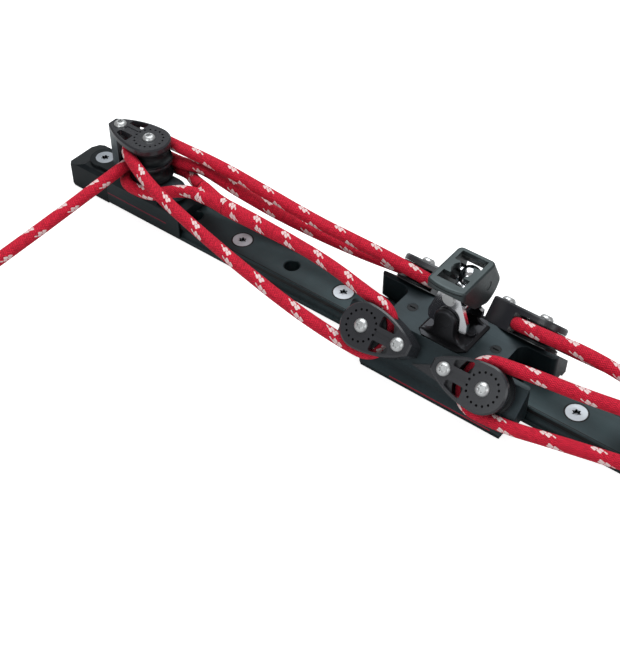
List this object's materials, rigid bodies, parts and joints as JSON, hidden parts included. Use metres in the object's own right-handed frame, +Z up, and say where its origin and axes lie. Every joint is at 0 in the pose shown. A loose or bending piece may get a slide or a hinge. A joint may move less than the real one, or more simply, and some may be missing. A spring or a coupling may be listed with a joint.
{
  "type": "traveller end control",
  "caption": "Rigged sheet traveller: an end control with stacked sheaves on a track, a ball-bearing car with tilted sheave blocks, a swinging saddle and red control lines.",
  "frame": {"origin": "on the deck under the middle of the track and end control", "axes": "+X along the track away from the end control, +Y to the back, +Z up from the deck"},
  "size_m": [0.5754, 0.2447, 0.0926],
  "materials": {
    "track_bar": "dark hard-anodised, satin",
    "screw_steel": "stainless steel, satin with a dark socket",
    "black_moulding": "black moulded plastic, soft gloss",
    "housing_metal": "dark anodised, satin, with a thin red line",
    "sheave_plastic": "dark moulded plastic, fine turned lines",
    "bearing_plastic": "hard bearing plastic, smooth",
    "plate_steel": "stainless steel sheet",
    "car_metal": "dark blue-grey anodised, satin, with a thin red line",
    "toggle_black": "black anodised, soft gloss",
    "toggle_chrome": "polished stainless steel",
    "saddle_steel": "satin stainless steel",
    "line_red": "crimson double braid with paired white flecks"
  },
  "bodies": {
    "track": {"track": "track_bar", "track_screws": "screw_steel", "end_control_nose": "black_moulding", "end_control_base": "housing_metal", "end_control_end_screw": "screw_steel", "end_control_frame": "housing_metal", "end_control_middle_plate": "plate_steel", "end_control_cheek": "black_moulding", "end_control_sleeve": "bearing_plastic", "end_control_bolts": "screw_steel", "control_line_eye": "line_red", "control_line_splice": "line_red", "control_line_left": "line_red", "control_line_tail_knot": "line_red"},
    "end_lower_sheave": {"end_control_lower_sheave": "sheave_plastic"},
    "end_upper_sheave": {"end_control_upper_sheave": "sheave_plastic"},
    "car": {"car_body": "car_metal", "car_screws": "screw_steel", "car_front_balls": "bearing_plastic", "car_back_balls": "bearing_plastic", "toggle_base": "toggle_black", "toggle_screws": "screw_steel", "toggle_pin": "screw_steel", "toggle_pin_clip": "screw_steel", "control_line_front_right": "line_red", "control_line_back_right": "line_red", "front_right_upper_knot": "line_red", "front_right_lower_knot": "line_red", "back_right_upper_knot": "line_red", "back_right_lower_knot": "line_red", "front_left_cheek": "black_moulding", "front_left_sleeve": "bearing_plastic", "front_left_housing": "black_moulding", "front_left_bolts": "screw_steel", "front_right_cheek": "black_moulding", "front_right_sleeve": "bearing_plastic", "front_right_housing": "black_moulding", "front_right_bolts": "screw_steel", "back_left_cheek": "black_moulding", "back_left_sleeve": "bearing_plastic", "back_left_housing": "black_moulding", "back_left_bolts": "screw_steel", "back_right_cheek": "black_moulding", "back_right_sleeve": "bearing_plastic", "back_right_housing": "black_moulding", "back_right_bolts": "screw_steel"},
    "toggle": {"toggle_link": "toggle_chrome", "toggle_link_rivet": "screw_steel", "saddle_pin": "screw_steel"},
    "saddle": {"toggle_saddle": "saddle_steel"},
    "front_left_sheave": {"front_left_sheave": "sheave_plastic"},
    "front_right_sheave": {"front_right_sheave": "sheave_plastic"},
    "back_left_sheave": {"back_left_sheave": "sheave_plastic"},
    "back_right_sheave": {"back_right_sheave": "sheave_plastic"}
  },
  "joints": [
    {"name": "car_slide", "type": "slide", "parent": "track", "child": "car", "axis": [1, 0, 0], "range_m": [-0.11, 0.06], "deforming": ["control_line_left"]},
    {"name": "end_lower_sheave_spin", "type": "hinge", "parent": "track", "child": "end_lower_sheave", "pos_m": [-0.1796, 0, 0.0473], "axis": [0, 0, 1], "continuous": true},
    {"name": "end_upper_sheave_spin", "type": "hinge", "parent": "track", "child": "end_upper_sheave", "pos_m": [-0.1796, 0, 0.0629], "axis": [0, 0, 1], "continuous": true},
    {"name": "toggle_swing", "type": "hinge", "parent": "car", "child": "toggle", "pos_m": [0.1131, 0, 0.057], "axis": [0, 1, 0], "range_deg": [-45, 45]},
    {"name": "saddle_tilt", "type": "hinge", "parent": "toggle", "child": "saddle", "pos_m": [0.1131, 0.0145, 0.077], "axis": [1, 0, 0], "range_deg": [-15, 15]},
    {"name": "front_left_sheave_spin", "type": "hinge", "parent": "car", "child": "front_left_sheave", "pos_m": [0.0618, -0.029, 0.0295], "axis": [0, -0.7071, 0.7071], "continuous": true},
    {"name": "front_right_sheave_spin", "type": "hinge", "parent": "car", "child": "front_right_sheave", "pos_m": [0.1628, -0.029, 0.0295], "axis": [0, -0.7071, 0.7071], "continuous": true},
    {"name": "back_left_sheave_spin", "type": "hinge", "parent": "car", "child": "back_left_sheave", "pos_m": [0.0618, 0.029, 0.0295], "axis": [0, 0.7071, 0.7071], "continuous": true},
    {"name": "back_right_sheave_spin", "type": "hinge", "parent": "car", "child": "back_right_sheave", "pos_m": [0.1628, 0.029, 0.0295], "axis": [0, 0.7071, 0.7071], "continuous": true}
  ]
}
